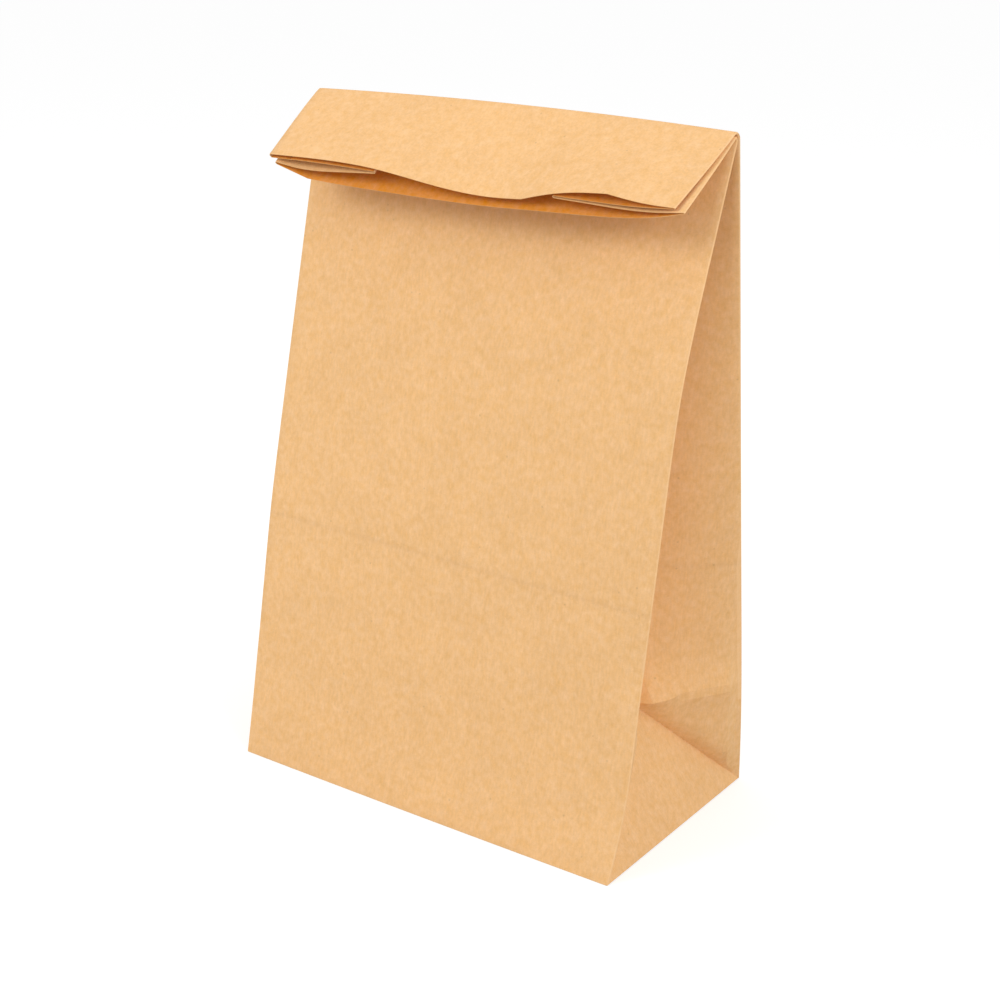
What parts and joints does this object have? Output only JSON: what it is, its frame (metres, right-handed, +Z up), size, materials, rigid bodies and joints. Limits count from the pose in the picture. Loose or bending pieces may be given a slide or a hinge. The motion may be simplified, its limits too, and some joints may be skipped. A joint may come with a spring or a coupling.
{
  "type": "paper lunch bag",
  "caption": "Brown kraft paper lunch bag with folded-in gussets and a square bottom, standing, its pressed top folded over to the front.",
  "frame": {"origin": "middle of the square bottom, on the floor", "axes": "+Z up, the front with the folded-over top faces -Y, +X to the front's right"},
  "size_m": [0.1545, 0.0904, 0.2286],
  "materials": {
    "kraft_paper": "matte, unbleached"
  },
  "bodies": {
    "root": {"paper_bag": "kraft_paper"}
  },
  "joints": []
}
